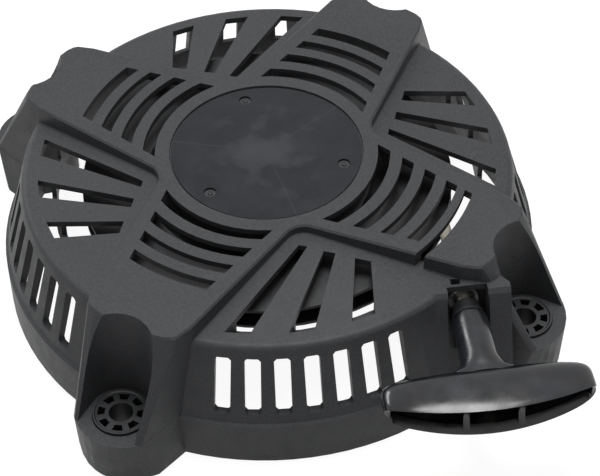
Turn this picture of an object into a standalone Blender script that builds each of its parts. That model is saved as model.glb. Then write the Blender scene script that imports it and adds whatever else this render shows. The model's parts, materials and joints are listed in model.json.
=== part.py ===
"""Recoil starter: round vented case on four legs, rope reel with flat spring and pawls, T grip."""

import math

import bmesh
import bpy

MM = 0.001
TURN = 2 * math.pi

# Overall sizes, in mm. The reel turns about Z; Z is 0 at the feet, and the rope is pulled towards -Y.
AXIS_Y = 21.25  # the reel axis stands back so that the origin is under the middle of the whole starter
HEIGHT = 71.5
SKIRT_R = 126.6
SKIRT_Z = 24.0
DRUM_TOP_R = 115.0
BAY_RIM_Z = 63.5
BAY_HUB_Z = 67.7
WALL = 3.0
DISC_R = 45.0
BOLT_R = 134.35
ROPE_R = 3.1
ROPE_Z = 50.5
WIND_R = 76.8
PULL_TURN = math.radians(-8.5)
PAD_Z = 24.5

# Named clearances, in mm.
GAP = 0.3
RUN_GAP = 0.3
ROPE_GAP = 0.35

# Reel, spring and ratchet.
REEL_R = 87.0
GROOVE_W = 2 * ROPE_R + 0.8
FLANGE_T = 2.2
GROOVE_FLOOR_R = 61.0
GROOVE_WALL = 3.4
WEB_HOLE_IN_R = 40.0
WEB_HOLE_OUT_R = 55.5
WIND_PITCH = 2 * ROPE_R + 0.3
POST_R = 9.0
POST_Z = 40.0
HUB_R = 12.5
SPRING_TURNS = 8
SPRING_T = 0.6
SPRING_H = 9.0
CUP_R = 46.0
SCREW_R = 2.9
PAWL_POST_R = 3.0
PAWL_POST_AT = 25.0
PLATE_Z = 34.4

# Foot bush.
BUSH_R = 12.7
BUSH_HOLE_R = 5.4
BUSH_POCKETS = 8
WELL_TOP_R = 17.0
WELL_FLOOR_R = 14.6

# Grip, in mm, measured along the pull.
NECK_Y = -91.2
SHOULDER_Y = -99.0
BAR_BACK_Y = -131.0
BAR_FRONT_Y = -158.0
BAR_HALF = 46.0
STEM_R = 7.6
POCKET_DEPTH_Y = 6.5  # from the bar's back to the floor of its hollow front
KNOT_HALF = 5.0
KNOT_Y = BAR_BACK_Y - POCKET_DEPTH_Y - GAP - KNOT_HALF

for old in list(bpy.data.objects):
    bpy.data.objects.remove(old, do_unlink=True)

scene = bpy.context.scene
parts = bpy.data.collections.new("recoil_starter")
cutters = bpy.data.collections.new("cutters")
scene.collection.children.link(parts)
scene.collection.children.link(cutters)
cutters.hide_render = True

MATERIALS = {
    "case_plastic": ((0.085, 0.088, 0.094), 0.0, 0.55),
    "grip_plastic": ((0.022, 0.025, 0.032), 0.0, 0.25),
    "collar_rubber": ((0.02, 0.02, 0.022), 0.0, 0.7),
    "bush_nylon": ((0.06, 0.062, 0.066), 0.0, 0.5),
    "reel_nylon": ((0.04, 0.04, 0.043), 0.0, 0.45),
    "rope": ((0.72, 0.68, 0.58), 0.0, 0.85),
    "spring_steel": ((0.35, 0.36, 0.38), 1.0, 0.3),
    "zinc_steel": ((0.6, 0.6, 0.62), 1.0, 0.35),
    "pawl_steel": ((0.42, 0.42, 0.44), 1.0, 0.4),
}


def material(slot):
    """The slot's own Principled material."""
    found = bpy.data.materials.get(slot)
    if found:
        return found
    made = bpy.data.materials.new(slot)
    made.use_nodes = True
    shader = made.node_tree.nodes["Principled BSDF"]
    color, metallic, rough = MATERIALS[slot]
    shader.inputs["Base Color"].default_value = (*color, 1.0)
    shader.inputs["Metallic"].default_value = metallic
    shader.inputs["Roughness"].default_value = rough
    return made


def polar(r, degrees):
    a = math.radians(degrees)
    return (r * math.cos(a), r * math.sin(a))


def turned_by(points, angle):
    """The 2D points turned about the reel axis."""
    c = math.cos(angle)
    s = math.sin(angle)
    return [(c * x - s * y, s * x + c * y) for x, y in points]


def ring_of(r, start, end, count):
    return [polar(r, start + (end - start) * i / (count - 1)) for i in range(count)]


def circle(r, count, x=0.0, y=0.0):
    """A full round of points about (x, y)."""
    return [(x + px, y + py) for px, py in ring_of(r, 0, 360 - 360 / count, count)]


def at_arm(points, k):
    """Points of arm k, given with the arm's middle line along X."""
    return turned_by(points, math.radians(45 + 90 * k))


def add(name, data, slot):
    obj = bpy.data.objects.new(name, data)
    if slot:
        data.materials.append(material(slot))
        parts.objects.link(obj)
    else:
        cutters.objects.link(obj)
        obj.hide_render = True
        obj.display_type = "WIRE"
    return obj


def skins(name, bodies, slot=None):
    """One object of closed bodies, each skinned over rings of equal length: [[(x, y, z), ...], ...]."""
    bm = bmesh.new()
    for rings in bodies:
        rows = [[bm.verts.new((x * MM, y * MM, z * MM)) for x, y, z in ring] for ring in rings]
        count = len(rows[0])
        for first, second in zip(rows, rows[1:]):
            for i in range(count):
                j = (i + 1) % count
                bm.faces.new((first[i], first[j], second[j], second[i]))
        bm.faces.new(rows[0][::-1])
        bm.faces.new(rows[-1])
    bm.normal_update()
    bmesh.ops.triangulate(bm, faces=[face for face in bm.faces if len(face.verts) > 4])
    bmesh.ops.recalc_face_normals(bm, faces=bm.faces)
    mesh = bpy.data.meshes.new(name)
    bm.to_mesh(mesh)
    bm.free()
    return add(name, mesh, slot)


def lofts(name, bodies, slot=None):
    """Bodies that rise along Z, each given as [(z, [(x, y), ...]), ...]."""
    return skins(name, [[[(x, y, z) for x, y in ring] for z, ring in rings] for rings in bodies], slot)


def prism(outline, low, high):
    return [(low, outline), (high, outline)]


def turned(name, profile, slot=None, steps=96, loop=False):
    """A profile of (r, z) points spun about Z: an open one from axis to axis, or a closed loop."""
    pairs = zip(profile, profile[1:] + profile[:1])
    if sum(r0 * z1 - r1 * z0 for (r0, z0), (r1, z1) in pairs) > 0:
        profile = profile[::-1]
    points = [(r * MM, 0, z * MM) for r, z in profile]
    edges = [(i, i + 1) for i in range(len(points) - 1)]
    if loop:
        edges.append((len(points) - 1, 0))
    mesh = bpy.data.meshes.new(name)
    mesh.from_pydata(points, edges, [])
    obj = add(name, mesh, slot)
    spin = obj.modifiers.new("spin", "SCREW")
    spin.steps = steps
    spin.render_steps = steps
    spin.use_merge_vertices = True
    spin.merge_threshold = 0.00001
    return obj


def tube(name, points, radius, slot=None, resolution=3, cyclic=False):
    """A round wire or rope along a polyline of (x, y, z) points in mm."""
    curve = bpy.data.curves.new(name, "CURVE")
    curve.dimensions = "3D"
    curve.bevel_depth = radius * MM
    curve.bevel_resolution = resolution
    curve.use_fill_caps = not cyclic
    line = curve.splines.new("POLY")
    line.points.add(len(points) - 1)
    for spot, (x, y, z) in zip(line.points, points):
        spot.co = (x * MM, y * MM, z * MM, 1)
    line.use_cyclic_u = cyclic
    return add(name, curve, slot)


def boolean(obj, other, operation="DIFFERENCE"):
    step = obj.modifiers.new(other.name, "BOOLEAN")
    step.operation = operation
    step.object = other
    # EXACT leaves open edges in the case's long chain of cuts.
    step.solver = "MANIFOLD" if obj.name == "recoil_case" else "EXACT"
    return step


def lying(obj, x, y, z):
    """Lays a body turned about Z along the pull, its +Z end towards the case."""
    obj.rotation_euler = (math.radians(-90), 0, PULL_TURN)
    obj.location = (*(v * MM for v in turned_by([(x, y)], PULL_TURN)[0]), z * MM)
    return obj


# ---------------------------------------------------------------- case, outside
ARM_TAPER = 0.131
ARM_AXIS_W = 39.35  # half width of an arm's straight sides, carried in to the reel axis
CORNER_R = 9.6
SHOULDER_X = 111.2
HALF_TURN = math.radians(45)  # from the middle line of an arm to that of a bay


def arm_half(grow, end, shoulder):
    """Half an arm's outline: the inner corner's fillet, the straight side, then the end's points."""
    slope = math.atan(ARM_TAPER)
    radius = CORNER_R - grow
    vertex = math.sqrt(2) * (ARM_AXIS_W + grow / math.cos(slope)) / (1 + ARM_TAPER)
    middle = vertex + radius / math.sin(HALF_TURN + slope)
    arc = []
    for i in range(5):
        a = (HALF_TURN - slope) * i / 4
        arc.append((middle - radius * math.cos(a), -radius * math.sin(a)))
    side = (shoulder, ARM_AXIS_W - ARM_TAPER * shoulder + grow)
    return turned_by(arc, HALF_TURN) + [side] + end


def star(grow, end, shoulder=SHOULDER_X):
    """The raised X with its four legs, as one outline."""
    half = arm_half(grow, end, shoulder)
    arm = [(x, -y) for x, y in half] + half[:0:-1]
    return [point for k in range(4) for point in at_arm(arm, k)]


TOP_END = [(118.6, 22.4), (120.2, 21.0), (121.8, 17.5), (122.6, 13.0), (123.0, 8.0), (123.2, 3.0)]
LEG_END = [(145.5, 17.6), (146.6, 16.4), (147.0, 13.0), (147.2, 10.0), (147.3, 6.0), (147.4, 2.0)]
FOOT_END = [(145.3, 17.8), (146.6, 16.6), (149.4, 12.9), (151.5, 8.9), (152.8, 4.6), (153.2, 1.4)]
BASE_END = [(139.8, 21.3), (141.6, 19.9), (146.3, 14.9), (149.6, 9.9), (151.4, 5.1), (152.0, 1.4)]


def shrunk(end, by):
    """The end's points drawn in a little, for a softened edge."""
    return [(x - by, y - (by if y > 15 else 0)) for x, y in end]


rings = [
    (0.0, star(3.6, BASE_END)),
    (PAD_Z - 0.05, star(2.6, FOOT_END)),
    (PAD_Z + 0.05, star(2.5, LEG_END)),
    (HEIGHT - 0.8, star(0.2, [(x + 0.4, y + 0.1) for x, y in TOP_END])),
    (HEIGHT, star(-0.7, shrunk(TOP_END, 0.5))),
]
DRUM_PROFILE = [
    (0, BAY_HUB_Z),
    (48, BAY_HUB_Z),
    (111.8, BAY_RIM_Z),
    (113.4, BAY_RIM_Z - 0.5),
    (114.5, BAY_RIM_Z - 1.3),
    (DRUM_TOP_R + 0.2, BAY_RIM_Z - 2.6),
    (SKIRT_R - 1.3, SKIRT_Z + 0.9),
    (SKIRT_R, SKIRT_Z),
    (SKIRT_R, 0.5),
    (SKIRT_R - 0.5, 0),
    (0, 0),
]
case = turned("recoil_case", DRUM_PROFILE, "case_plastic")
boolean(case, lofts("arms_and_legs", [rings]), "UNION")

# The wall steps out beside one leg, square to the pull, to carry the rope's outlet.
block_top = [(50.5, -60.0), (55.5, -96.5), (96.0, -96.5), (96.0, -60.0)]
block_low = [(50.0, -60.0), (45.5, -110.6), (96.0, -110.6), (96.0, -60.0)]
block_base = [(50.0, -60.0), (45.5, -111.4), (96.0, -111.4), (96.0, -60.0)]


def set_back(outline, by):
    """The outline with its front edge moved back, for a softened top edge."""
    return [(x, y + by if y < -90 else y) for x, y in outline]


block_rings = [
    (0.02, turned_by(block_base, PULL_TURN)),
    (SKIRT_Z - 1.5, turned_by(block_base, PULL_TURN)),
    (SKIRT_Z + 0.6, turned_by(block_low, PULL_TURN)),
    (BAY_RIM_Z - 2.0, turned_by(set_back(block_top, 0.4), PULL_TURN)),
    (BAY_RIM_Z - 0.05, turned_by(set_back(block_top, 2.2), PULL_TURN)),
]
boolean(case, lofts("outlet_block", [block_rings]), "UNION")

# ---------------------------------------------------------------- case, inside
INNER_PROFILE = [
    (0, BAY_HUB_Z - WALL),
    (48, BAY_HUB_Z - WALL),
    (109.4, BAY_RIM_Z - WALL),
    (111.4, BAY_RIM_Z - WALL - 1.6),
    (SKIRT_R - 4.2, SKIRT_Z),
    (SKIRT_R - WALL, SKIRT_Z - 4),
    (SKIRT_R - WALL, -3),
    (0, -3),
]
boolean(case, turned("hollow", INNER_PROFILE, steps=72))
ARM_HOLLOW_END = [(104.0, 22.5), (105.0, 21.5), (105.6, 17.0), (106.0, 12.0), (106.2, 8.0), (106.3, 3.0)]
arm_hollow = [(z, star(grow, ARM_HOLLOW_END, 100.0)) for z, grow in ((54.0, -2.6), (HEIGHT - WALL, -3.6))]
boolean(case, lofts("arm_hollow", [arm_hollow]))

# A back wall behind each well, and the post, spring cup and stiffening rib under the roof.
backs = []
for k in range(4):
    arc = [(BOLT_R + x, y) for x, y in ring_of(WELL_TOP_R + 2.3, 125, 235, 11)]
    backs.append(prism(at_arm(arc, k), 0.01, 58.0))
boolean(case, lofts("well_backs", backs), "UNION")
ROOF_IN = HEIGHT - WALL / 2
post = turned("centre_post", [(0, ROOF_IN), (POST_R, ROOF_IN), (POST_R, POST_Z), (0, POST_Z)], steps=32)
boolean(case, post, "UNION")
cup = [(CUP_R, ROOF_IN), (CUP_R + 2.4, ROOF_IN), (CUP_R + 2.4, 57.9), (CUP_R, 57.9)]
boolean(case, turned("spring_cup", cup, steps=48, loop=True), "UNION")
rib = [(99.0, BAY_RIM_Z - 1), (101.2, BAY_RIM_Z - 1), (101.2, 47.0), (99.0, 47.0)]
boolean(case, turned("stiffening_rib", rib, steps=48, loop=True), "UNION")

# ---------------------------------------------------------------- case, openings
SLOT_RADII = [(52.0, 57.7), (63.4, 69.0), (74.5, 80.0), (85.4, 91.0)]
SLOT_END_AXIS = 35.5
SLOT_END_TAPER = 0.177


def slot_angle(r):
    """The angle at which a slot of this radius meets the line of the slots' ends."""
    low = 0.0
    high = math.radians(60)
    for _ in range(40):
        a = (low + high) / 2
        if r * math.sin(a) < SLOT_END_AXIS - SLOT_END_TAPER * r * math.cos(a):
            low = a
        else:
            high = a
    return math.degrees(low)


def arc_slot(inner, outer, k, start=None):
    out_a = slot_angle(outer)
    in_a = slot_angle(inner)
    out_b = -out_a if start is None else start
    in_b = -in_a if start is None else start
    return at_arm(ring_of(outer, out_b, out_a, 11) + ring_of(inner, in_a, in_b, 11), k)


slots = [prism(arc_slot(a, b, k), 55, 80) for k in range(4) for a, b in SLOT_RADII]
# The arm beside the outlet has a fifth slot, which runs out through its side.
boolean(case, lofts("arc_slots", slots))
boolean(case, lofts("outlet_slot", [prism(arc_slot(94.9, 98.7, 3, -14.6), 55, 80)]))
boolean(case, lofts("outlet_slot_mouth", [prism(arc_slot(94.9, 98.7, 3, -17.4), BAY_RIM_Z + 0.9, 80)]))

BAY_SLOTS = [
    [(107, -25.8), (107, -19.8), (60.8, 1.5), (59.0, -1.8)],
    [(107, -10.8), (107, -4.8), (69.2, 10.4), (65.9, 6.8)],
    [(107, 4.2), (107, 10.2), (81.1, 18.9), (75.8, 15.3)],
]
bays = []
for k in range(4):
    for corners in BAY_SLOTS:
        outline = [polar(r, a - 90 + 90 * k) for r, a in corners]
        bays.append(prism(outline, 56, 75))
boolean(case, lofts("bay_slots", bays))

WINDOW_STEP = 6.36
WINDOW_HALF = 3.6
WINDOW_LOW = 29.4
WINDOW_HIGH = 57.6
WINDOW_CORNER = 1.2


def window(angle):
    """A window's body, which runs out through the side wall along its own radius."""
    w = WINDOW_HALF
    c = WINDOW_CORNER
    corners = ((w, WINDOW_LOW, c, 0), (w, WINDOW_LOW, 0, c), (w, WINDOW_HIGH, 0, -c), (w, WINDOW_HIGH, c, 0))
    right = [(y - dy, z + dz) for y, z, dy, dz in corners]
    face = right + [(-y, z) for y, z in right[::-1]]
    rings = []
    for r in (104.0, 132.0):
        row = turned_by([(r, y) for y, _ in face], math.radians(angle))
        rings.append([(x, y, z) for (x, y), (_, z) in zip(row, face)])
    return rings


WINDOW_ANGLES = [-90 + 90 * k + WINDOW_STEP * i for k in range(4) for i in range(-4, 5)]
OUTLET_ANGLES = [-90 + WINDOW_STEP * 3, -90 + WINDOW_STEP * 4]
boolean(case, skins("side_windows", [window(a) for a in WINDOW_ANGLES if a not in OUTLET_ANGLES]))



def well(r, k):
    """A bolt well open to the outside, as a round back and two straight sides."""
    arc = [(BOLT_R + x, y) for x, y in ring_of(r, 90, 270, 15)]
    return at_arm([(172.0, r)] + arc + [(172.0, -r)], k)


wells = []
bores = []
for k in range(4):
    wells.append([(PAD_Z, well(WELL_FLOOR_R, k)), (HEIGHT + 6, well(WELL_TOP_R + 0.4, k))])
    bores.append(prism(at_arm(circle(BUSH_R + GAP, 32, BOLT_R), k), -2, PAD_Z + 5))
boolean(case, lofts("bolt_wells", wells))
boolean(case, lofts("bush_bores", bores))

disc = [(0, HEIGHT + 3), (DISC_R, HEIGHT + 3), (DISC_R, HEIGHT - 0.6), (0, HEIGHT - 0.6)]
boolean(case, turned("disc_recess", disc, steps=72))
groove_top = [(DISC_R - 0.7, HEIGHT + 2), (DISC_R + 0.5, HEIGHT + 2)]
groove = groove_top + [(DISC_R + 0.2, HEIGHT - 1.3), (DISC_R - 0.5, HEIGHT - 1.3)]
boolean(case, turned("disc_groove", groove, steps=72, loop=True))
dimples = []
for angle in (90, -30, -150):
    x, y = polar(37.0, angle)
    dimples.append([(HEIGHT - 1.5, circle(2.7, 20, x, y)), (HEIGHT + 1, circle(3.4, 20, x, y))])
boolean(case, lofts("dimples", dimples))

# The outlet: a boxed notch for the grip's neck, with the eyelet's bore in its back wall.
NOTCH_HALF = 9.4
NOTCH_BACK_Y = -86.0
EYELET_R = 5.2


def pull_box(x0, x1, y0, y1):
    return turned_by([(x0, y0), (x1, y0), (x1, y1), (x0, y1)], PULL_TURN)


outlet_wall = prism(pull_box(63.0, 92.0, -94.0, -82.6), 36.0, BAY_RIM_Z - 1.2)
boolean(case, lofts("outlet_wall", [outlet_wall]), "UNION")
notch = [
    prism(pull_box(WIND_R - NOTCH_HALF, WIND_R + NOTCH_HALF, -135.0, NOTCH_BACK_Y), 38.5, 60.0),
    prism(pull_box(WIND_R - NOTCH_HALF + 0.4, WIND_R + NOTCH_HALF - 0.4, -135.0, -91.0), 45.0, 80.0),
    prism(pull_box(WIND_R - 6.6, WIND_R - 2.4, -89.6, -86.3), 50.0, 80.0),
]
# One body a cut, because they overlap one another.
for index, body in enumerate(notch):
    boolean(case, lofts(f"outlet_notch_{index + 1}", [body]))
# The rope passes through the stiffening rib.
tunnel = prism(pull_box(WIND_R - 5.6, WIND_R + 5.6, -79.0, -40.0), ROPE_Z - 5.0, ROPE_Z + 5.0)
boolean(case, lofts("rope_tunnel", [tunnel]))
eyelet_bore = [(0, 20), (EYELET_R + GAP, 20), (EYELET_R + GAP, -2), (0, -2)]
boolean(case, lying(turned("eyelet_bore", eyelet_bore, steps=32), WIND_R, NOTCH_BACK_Y, ROPE_Z))
screw_hole = [(0, 62), (SCREW_R + GAP, 62), (SCREW_R + GAP, POST_Z - 3), (0, POST_Z - 3)]
boolean(case, turned("screw_hole", screw_hole, steps=32))

# ---------------------------------------------------------------- foot bushes
for k in range(4):
    rim = [(BOLT_R, 0)]
    cx, cy = at_arm(rim, k)[0]
    profile = [
        (BUSH_HOLE_R, PAD_Z + 0.9),
        (BUSH_R - 1.3, PAD_Z + 0.9),
        (BUSH_R - 0.8, PAD_Z + 1.4),
        (BUSH_R, PAD_Z + 1.4),
        (BUSH_R, 0),
        (BUSH_HOLE_R, 0),
    ]
    bush = turned(f"mount_bush_{k + 1}", profile, "bush_nylon", steps=32, loop=True)
    pockets = []
    for i in range(BUSH_POCKETS):
        middle = 360 * (i + 0.5) / BUSH_POCKETS
        outline = ring_of(10.5, middle - 14, middle + 14, 4) + ring_of(7.3, middle + 12, middle - 12, 3)
        pockets.append(prism(outline, 4.0, PAD_Z + 6))
    pocket_cutter = lofts(f"bush_pockets_{k + 1}", pockets)
    boolean(bush, pocket_cutter)
    for body in (bush, pocket_cutter):
        body.location = (cx * MM, cy * MM, 0)
        body.rotation_euler = (0, 0, math.radians(45 + 90 * k))

# ---------------------------------------------------------------- rope outlet eyelet
eyelet_profile = [
    (ROPE_R + ROPE_GAP, 6.0),
    (EYELET_R, 6.0),
    (EYELET_R, -GAP),
    (EYELET_R + 2.2, -GAP),
    (EYELET_R + 2.2, -1.2),
    (EYELET_R + 1.6, -1.8),
    (ROPE_R + ROPE_GAP + 0.7, -1.8),
    (ROPE_R + ROPE_GAP, -1.1),
]
eyelet = turned("rope_eyelet", eyelet_profile, "zinc_steel", steps=32, loop=True)
lying(eyelet, WIND_R, NOTCH_BACK_Y, ROPE_Z)

# ---------------------------------------------------------------- reel
half = GROOVE_W / 2
top = ROPE_Z + half + FLANGE_T
low = ROPE_Z - half - FLANGE_T
REEL_PROFILE = [
    (POST_R + RUN_GAP, 67.0),
    (HUB_R, 67.0),
    (HUB_R, low + FLANGE_T + 1.0),
    (GROOVE_FLOOR_R - GROOVE_WALL, low + FLANGE_T + 1.0),
    (GROOVE_FLOOR_R - GROOVE_WALL, top),
    (REEL_R, top),
    (REEL_R, ROPE_Z + half + 0.6),
    (GROOVE_FLOOR_R, ROPE_Z + half),
    (GROOVE_FLOOR_R, ROPE_Z - half),
    (REEL_R, ROPE_Z - half - 0.6),
    (REEL_R, low),
    (POST_R + RUN_GAP, low),
]
reel = turned("reel", REEL_PROFILE, "reel_nylon", steps=64, loop=True)
posts = []
for side in (0, 180):
    x, y = polar(PAWL_POST_AT, side)
    posts.append(prism(circle(PAWL_POST_R, 20, x, y), 37.6, low + 0.8))
boolean(reel, lofts("pawl_posts", posts), "UNION")
holes = []
for i in range(6):
    middle = 60 * i + 30
    outline = ring_of(WEB_HOLE_OUT_R, middle - 24, middle + 24, 7)
    outline += ring_of(WEB_HOLE_IN_R, middle + 22, middle - 22, 6)
    holes.append(prism(outline, low - 3, low + FLANGE_T + 0.9))
boolean(reel, lofts("reel_lightening", holes))
hook_slot = prism([(11.0, -1.6), (16.0, -1.6), (16.0, 1.6), (11.0, 1.6)], 57.6, 70.0)
boolean(reel, lofts("spring_hook_slot", [hook_slot]))

# ---------------------------------------------------------------- rope
ROPE_TURNS = 1.9
wound = []
for i in range(int(ROPE_TURNS * 40) + 1):
    a = TURN * i / 40
    r = WIND_R - WIND_PITCH * a / TURN
    wound.append((*turned_by([(r * math.cos(a), r * math.sin(a))], PULL_TURN)[0], ROPE_Z))
tube("rope_wound", wound, ROPE_R, "rope", resolution=1)
lead = []
lead_start = -GAP - 0.14 * ROPE_R  # clear of the wound rope's end, which lies a little askew
for y in (lead_start, -20, -40, -60, -80, -100, -120, KNOT_Y + KNOT_HALF + GAP):
    lead.append((*turned_by([(WIND_R, y)], PULL_TURN)[0], ROPE_Z))
tube("rope_lead", lead, ROPE_R, "rope", resolution=3)
knot_round = [(3.2, 0.98), (5.0, 0.66), (5.6, 0.18), (5.2, -0.32), (3.9, -0.76), (1.8, -1.0)]
knot_profile = [(0, KNOT_HALF)] + [(r, z * KNOT_HALF) for r, z in knot_round] + [(0, -KNOT_HALF - 0.3)]
lying(turned("rope_knot", knot_profile, "rope", steps=24), WIND_R, KNOT_Y, ROPE_Z)

# ---------------------------------------------------------------- recoil spring and its cover
spring_z = 58.2
inner_r = HUB_R + 0.6
outer_r = CUP_R - 1.0
count = SPRING_TURNS * 24
strip = []
for i in range(count + 1):
    a = TURN * i / 24
    r = inner_r + SPRING_T + (outer_r - inner_r - SPRING_T) * i / count
    ring = []
    for corner_r, z in ((r, 0), (r, SPRING_H), (r - SPRING_T, SPRING_H), (r - SPRING_T, 0)):
        ring.append((corner_r * math.cos(a), corner_r * math.sin(a), spring_z + z))
    strip.append(ring)
skins("recoil_spring", [strip], "spring_steel")
cover = [(HUB_R + GAP, 57.6), (CUP_R + 3.4, 57.6), (CUP_R + 3.4, 56.8), (HUB_R + GAP, 56.8)]
turned("spring_cover", cover, "zinc_steel", steps=32, loop=True)

# ---------------------------------------------------------------- ratchet
PAWL_LOW = 38.2
PAWL_HIGH = 41.8
for index, side in enumerate((0, 180)):
    boss = ring_of(5.6, 200, 340, 9)
    outline = boss + [(5.6, 4.0), (4.6, 10.0), (4.4, 17.5), (2.2, 19.5), (-1.6, 18.6), (-2.4, 12.0), (-5.2, 3.0)]
    pawl = lofts(f"pawl_{index + 1}", [prism(outline, PAWL_LOW, PAWL_HIGH)], "pawl_steel")
    hole = turned(
        f"pawl_hole_{index + 1}",
        [(0, 46), (PAWL_POST_R + 0.15, 46), (PAWL_POST_R + 0.15, 34), (0, 34)],
        steps=32,
    )
    boolean(pawl, hole)
    x, y = polar(PAWL_POST_AT, side)
    for body in (pawl, hole):
        body.location = (x * MM, y * MM, 0)
        body.rotation_euler = (0, 0, math.radians(side))
    coil = []
    for i in range(25):
        a = TURN * i / 12
        coil.append((3.78 * math.cos(a), 3.78 * math.sin(a), PAWL_HIGH + 0.63 + 1.39 * i / 24))
    coil = [(3.78, -4.6, PAWL_HIGH + 0.63)] + coil + [(3.78, 4.6, PAWL_HIGH + 2.02)]
    wire = tube(f"pawl_spring_{index + 1}", coil, 0.26, "spring_steel", resolution=0)
    wire.location = (x * MM, y * MM, 0)
    wire.rotation_euler = (0, 0, math.radians(side))

plate_outline = []
for i in range(48):
    a = 360 * i / 48
    lobe = max(0.0, math.cos(math.radians(2 * (a - 50)))) ** 6
    plate_outline.append(polar(17.0 + 12.0 * lobe, a))
plate = lofts("friction_plate", [prism(plate_outline, PLATE_Z, PLATE_Z + 1.6)], "zinc_steel")
tabs = []
for side in (50, 230):
    outline = turned_by([(26.4, -3.2), (28.0, -3.2), (28.0, 3.2), (26.4, 3.2)], math.radians(side))
    tabs.append(prism(outline, PLATE_Z + 0.8, PAWL_HIGH - 0.4))
boolean(plate, lofts("guide_tabs", tabs), "UNION")
plate_hole = [(0, 40), (SCREW_R + 0.9, 40), (SCREW_R + 0.9, 30), (0, 30)]
boolean(plate, turned("plate_hole", plate_hole, steps=32))

washer = [(SCREW_R + GAP, 39.7), (POST_R + 3.0, 39.7), (POST_R + 3.0, 38.7), (SCREW_R + GAP, 38.7)]
turned("reel_washer", washer, "zinc_steel", steps=48, loop=True)
turns = []
for i in range(29):
    a = TURN * i / 14
    turns.append((5.14 * math.cos(a), 5.14 * math.sin(a), PLATE_Z + 2.29 + 1.32 * i / 28))
tube("friction_spring", turns, 0.24, "spring_steel", resolution=0)
screw_profile = [
    (0, 58.0),
    (SCREW_R - 0.8, 58.0),
    (SCREW_R, 57.0),
    (SCREW_R, PLATE_Z - GAP),
    (8.0, PLATE_Z - GAP),
    (8.0, PLATE_Z - 1.5),
    (5.5, PLATE_Z - 1.7),
    (5.2, PLATE_Z - 5.6),
    (4.6, PLATE_Z - 6.2),
    (0, PLATE_Z - 6.2),
]
turned("centre_screw", screw_profile, "zinc_steel", steps=24)

# ---------------------------------------------------------------- grip
# Built with the pull along -Y through its own origin, then set on the rope's line.


def bar_ring(t, inset=0.0):
    """The bar's section at t from -1 to 1 along it, as (y, z) points."""
    squeeze = math.sqrt(max(0.0, 1 - abs(t) ** 7))
    height = (4.2 + 6.3 * (1 - t * t)) * (0.45 + 0.55 * squeeze) - inset
    back = BAR_BACK_Y - 1.6 * t * t - (1 - squeeze) * 4.0 - inset
    front = BAR_FRONT_Y + 8.6 * t * t + (1 - squeeze) * 3.0
    bevel = min(5.2, height * 0.55)
    return [
        (front, -height + 0.7),
        (front + 0.8, -height),
        ((front + back) / 2, -height - 0.5),
        (back - bevel, -height + 0.3),
        (back - 1.2, -height + bevel * 0.75),
        (back, -height + bevel * 1.1),
        (back, height - bevel * 1.1),
        (back - 1.2, height - bevel * 0.75),
        (back - bevel, height - 0.3),
        ((front + back) / 2, height + 0.5),
        (front + 0.8, height),
        (front, height - 0.7),
    ]


def along(name, sections, slot=None):
    """A body that runs along X, given as [(x, [(y, z), ...]), ...]."""
    return skins(name, [[[(x, y, z) for y, z in ring] for x, ring in sections]], slot)


def on_pull(obj):
    """Sets a body made about the rope's line at the outlet."""
    x, y = turned_by([(WIND_R, 0)], PULL_TURN)[0]
    obj.location = (x * MM, y * MM, ROPE_Z * MM)
    obj.rotation_euler = (0, 0, PULL_TURN)
    return obj


stations = [math.sin(math.pi / 2 * i / 14) for i in range(-14, 15)]
grip = along("grip", [(BAR_HALF * t, bar_ring(t)) for t in stations], "grip_plastic")
stem_profile = [
    (0, SHOULDER_Y - 0.3),
    (STEM_R - 0.9, SHOULDER_Y - 0.3),
    (STEM_R, SHOULDER_Y - 1.2),
    (STEM_R + 0.2, -121.0),
    (STEM_R + 0.9, -126.0),
    (STEM_R + 1.8, -130.0),
    (STEM_R + 1.9, -134.0),
    (0, -134.0),
]
stem = on_pull(turned("grip_stem", stem_profile, steps=48))
stem.rotation_euler = (math.radians(-90), 0, PULL_TURN)
on_pull(grip)
boolean(grip, stem, "UNION")
# Fillets in plan, from the stem out along the bar's back.
flare = []
for z, inset in ((-5.6, 1.0), (-4.2, 0.0), (4.2, 0.0), (5.6, 1.0)):
    side = [(STEM_R - 1.0 - inset, -119.0), (STEM_R + 1.0 - inset, -124.0), (STEM_R + 4.5 - inset, -128.6)]
    side += [(STEM_R + 10.5 - inset, -131.2), (STEM_R + 18.0 - inset, -132.4), (STEM_R + 18.0 - inset, -137.0)]
    flare.append((z, side + [(-x, y) for x, y in side[::-1]]))
boolean(grip, on_pull(lofts("grip_flare", [flare])), "UNION")


def pocket(t0, t1, count=7):
    """A pocket in the bar's front, following the bar's outline inside its walls."""
    sections = []
    for i in range(count):
        t = t0 + (t1 - t0) * i / (count - 1)
        height = max(1.4, (4.2 + 6.3 * (1 - t * t)) - 2.3 * (1 + 0.2 * t * t))
        back = BAR_BACK_Y - POCKET_DEPTH_Y - 2.5 * t * t
        sections.append((BAR_HALF * t, [(-175.0, -height), (back, -height), (back, height), (-175.0, height)]))
    return sections


RIB_T = 0.26
RIB_HALF = 0.035
spans = [(-0.93, -RIB_T - RIB_HALF), (-RIB_T + RIB_HALF, RIB_T - RIB_HALF), (RIB_T + RIB_HALF, 0.93)]
for index, (t0, t1) in enumerate(spans):
    boolean(grip, on_pull(along(f"grip_pocket_{index + 1}", pocket(t0, t1))))
rope_bore = [(0, -80), (ROPE_R + ROPE_GAP, -80), (ROPE_R + ROPE_GAP, -150), (0, -150)]
bore = on_pull(turned("grip_bore", rope_bore, steps=32))
bore.rotation_euler = (math.radians(-90), 0, PULL_TURN)
boolean(grip, bore)
collar_profile = [
    (ROPE_R + ROPE_GAP, NECK_Y),
    (5.2, NECK_Y),
    (6.0, NECK_Y - 0.9),
    (6.2, NECK_Y - 4.2),
    (7.2, NECK_Y - 6.0),
    (7.4, SHOULDER_Y),
    (ROPE_R + ROPE_GAP, SHOULDER_Y),
]
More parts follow.
